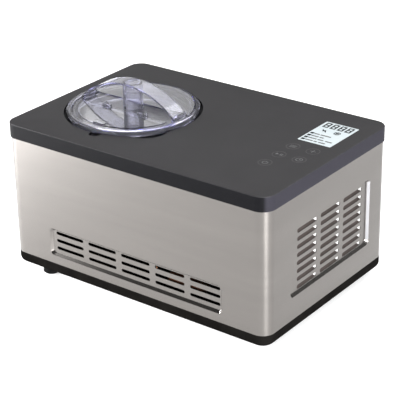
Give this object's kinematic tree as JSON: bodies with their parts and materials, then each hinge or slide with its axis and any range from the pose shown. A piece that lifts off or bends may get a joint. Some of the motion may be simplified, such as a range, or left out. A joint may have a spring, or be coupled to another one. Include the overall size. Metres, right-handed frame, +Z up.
{
  "type": "ice cream maker",
  "caption": "Countertop compressor ice cream maker: steel-wrapped box case with vents, dark flat cover, display, and a clear round lid with arch handle over a lift-out bowl.",
  "frame": {"origin": "centre of the footprint, on the surface the feet stand on", "axes": "+X along the width, -Y out of the front face with the small vents, +Z up"},
  "size_m": [0.395, 0.264, 0.2382],
  "materials": {
    "case_black": "matte dark grey moulded ABS",
    "base_black": "matte black moulded base",
    "steel_case": "satin stainless sheet",
    "foot_rubber": "matte",
    "fastener_steel": "zinc plated",
    "display_glass": "glossy printed window",
    "lcd_white": "matte",
    "circuit_green": "solder mask",
    "bowl_aluminium": "satin anodised",
    "foam_cream": "expanded foam",
    "copper": "bare copper tube",
    "clear_plastic": "clear violet-tinted polycarbonate",
    "paddle_plastic": "translucent white",
    "gear_steel": "sintered and oiled",
    "shaft_steel": "ground",
    "compressor_black": "satin enamel",
    "inner_plastic": "moulded",
    "fan_plastic": "moulded",
    "fin_aluminium": "thin sheet",
    "board_parts": "component mix",
    "pin_brass": "nickel-free brass"
  },
  "bodies": {
    "chassis": {"base_tray": "base_black", "foot_front_left": "foot_rubber", "foot_front_right": "foot_rubber", "foot_rear_left": "foot_rubber", "foot_rear_right": "foot_rubber", "foot_screws": "fastener_steel", "cover_posts": "fastener_steel", "base_screws": "fastener_steel", "housing_wrap": "steel_case", "rear_panel": "steel_case", "rear_panel_screws": "fastener_steel", "top_cover": "case_black", "display_lens": "display_glass", "lcd_module": "lcd_white", "control_board": "circuit_green", "touch_sensors": "shaft_steel", "board_screws": "fastener_steel", "cooling_pot": "bowl_aluminium", "insulation_foam": "foam_cream", "evaporator_coil": "copper", "gearbox_housing": "inner_plastic", "gearbox_cover": "inner_plastic", "gearbox_screws": "fastener_steel", "idler_pin": "shaft_steel", "shaft_bushes": "pin_brass", "shaft_seal": "foot_rubber", "motor_can": "shaft_steel", "compressor_lower_shell": "compressor_black", "compressor_upper_shell": "compressor_black", "compressor_base_plate": "fastener_steel", "compressor_grommets": "foot_rubber", "compressor_bolts": "fastener_steel", "compressor_terminal_cover": "inner_plastic", "condenser_fins": "fin_aluminium", "condenser_tube": "copper", "discharge_line": "copper", "suction_line": "copper", "capillary_tube": "copper", "filter_drier": "copper", "fan_shroud": "fan_plastic", "fan_motor": "shaft_steel", "power_board": "circuit_green", "power_board_parts": "board_parts", "power_inlet": "inner_plastic", "inlet_pins": "pin_brass"},
    "bowl_unit": {"bowl": "bowl_aluminium"},
    "lid_unit": {"lid": "clear_plastic", "lid_handle": "clear_plastic", "handle_cap": "clear_plastic", "flap_pins": "clear_plastic"},
    "flap": {"refill_flap": "clear_plastic"},
    "bail": {"bowl_handle": "shaft_steel"},
    "paddle_unit": {"paddle": "paddle_plastic"},
    "output": {"output_gear": "gear_steel", "drive_shaft": "shaft_steel"},
    "idler": {"idler_gear": "gear_steel"},
    "motor": {"motor_pinion": "gear_steel", "motor_rotor": "shaft_steel"},
    "fan": {"fan_blade": "fan_plastic", "fan_shaft": "shaft_steel"}
  },
  "joints": [
    {"name": "bowl_lift", "type": "slide", "parent": "chassis", "child": "bowl_unit", "axis": [0, 0, 1], "range_m": [0, 0.13]},
    {"name": "lid_lift", "type": "slide", "parent": "bowl_unit", "child": "lid_unit", "axis": [0, 0, 1], "range_m": [0, 0.12]},
    {"name": "flap_hinge", "type": "hinge", "parent": "lid_unit", "child": "flap", "pos_m": [-0.0915, -0.0256, 0.2062], "axis": [-1, 0, 0], "range_deg": [0, 75]},
    {"name": "handle_hinge", "type": "hinge", "parent": "bowl_unit", "child": "bail", "pos_m": [-0.0915, -0.008, 0.186], "axis": [1, 0, 0], "range_deg": [0, 90]},
    {"name": "paddle_spin", "type": "hinge", "parent": "bowl_unit", "child": "paddle_unit", "pos_m": [-0.0915, -0.008, 0.1], "axis": [0, 0, 1], "continuous": true},
    {"name": "output_spin", "type": "hinge", "parent": "chassis", "child": "output", "pos_m": [-0.0915, -0.008, 0.05], "axis": [0, 0, 1], "continuous": true},
    {"name": "idler_spin", "type": "hinge", "parent": "chassis", "child": "idler", "pos_m": [-0.0595, -0.008, 0.05], "axis": [0, 0, 1], "continuous": true},
    {"name": "motor_spin", "type": "hinge", "parent": "chassis", "child": "motor", "pos_m": [-0.0275, -0.008, 0.05], "axis": [0, 0, 1], "continuous": true},
    {"name": "fan_spin", "type": "hinge", "parent": "chassis", "child": "fan", "pos_m": [0.14, 0, 0.092], "axis": [1, 0, 0], "continuous": true}
  ],
  "couplings": [
    {"joint": "handle_hinge", "follows": "lid_lift", "rad_per_m": 13.08},
    {"joint": "paddle_spin", "follows": "motor_spin", "ratio": 0.11111},
    {"joint": "output_spin", "follows": "motor_spin", "ratio": 0.11111},
    {"joint": "idler_spin", "follows": "motor_spin", "ratio": -0.33333}
  ]
}
